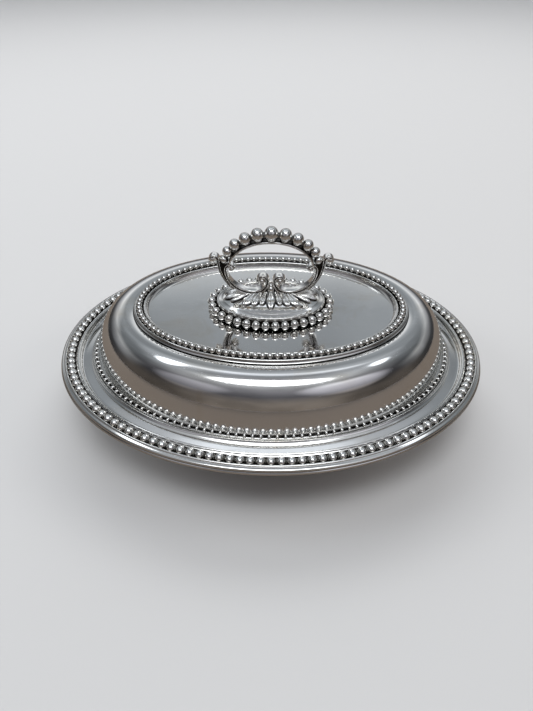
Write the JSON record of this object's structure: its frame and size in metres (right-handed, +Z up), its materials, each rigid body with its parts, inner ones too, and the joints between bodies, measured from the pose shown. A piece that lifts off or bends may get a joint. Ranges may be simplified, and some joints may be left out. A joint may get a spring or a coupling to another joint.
{
  "type": "covered entree dish",
  "caption": "Oval silver-plated entree dish with a beaded rim, a domed lid that lifts off and a beaded loop handle that locks with a quarter turn.",
  "frame": {"origin": "centre of the dish's flat base, on the surface it stands on", "axes": "+Z up, +X along the oval's long axis, +Y along its short axis"},
  "size_m": [0.2898, 0.2248, 0.1316],
  "materials": {
    "polished_plate": "polished silver plate with fine wear scratches",
    "cast_plate": "cast and struck silver plate, darkened in the hollows",
    "lock_metal": "satin nickel silver"
  },
  "bodies": {
    "dish": {"dish_bowl": "polished_plate", "dish_flange": "polished_plate", "dish_border_strip": "cast_plate", "dish_border_beads": "cast_plate", "dish_edge_wire": "cast_plate"},
    "lid": {"lid_dome": "polished_plate", "lid_panel": "polished_plate", "lid_foot_band": "cast_plate", "lid_foot_beads": "cast_plate", "lid_locating_collar": "polished_plate", "lid_top_border": "cast_plate", "lid_top_beads": "cast_plate", "lid_socket_plate": "lock_metal", "lid_stop_pins": "lock_metal"},
    "handle": {"handle_stud": "lock_metal", "handle_lock_bar": "lock_metal", "handle_scroll_left": "cast_plate", "handle_scroll_right": "cast_plate", "handle_arch": "cast_plate", "handle_arch_beads": "cast_plate", "handle_foot": "polished_plate", "handle_foot_beads": "cast_plate", "handle_leaf_front": "cast_plate", "handle_leaf_back": "cast_plate", "handle_leaf_left": "cast_plate", "handle_leaf_right": "cast_plate"}
  },
  "joints": [
    {"name": "lid_lift", "type": "slide", "parent": "dish", "child": "lid", "axis": [0, 0, 1], "range_m": [0, 0.08]},
    {"name": "handle_turn", "type": "hinge", "parent": "lid", "child": "handle", "pos_m": [0, 0, 0.075], "axis": [0, 0, 1], "range_deg": [0, 90]}
  ]
}
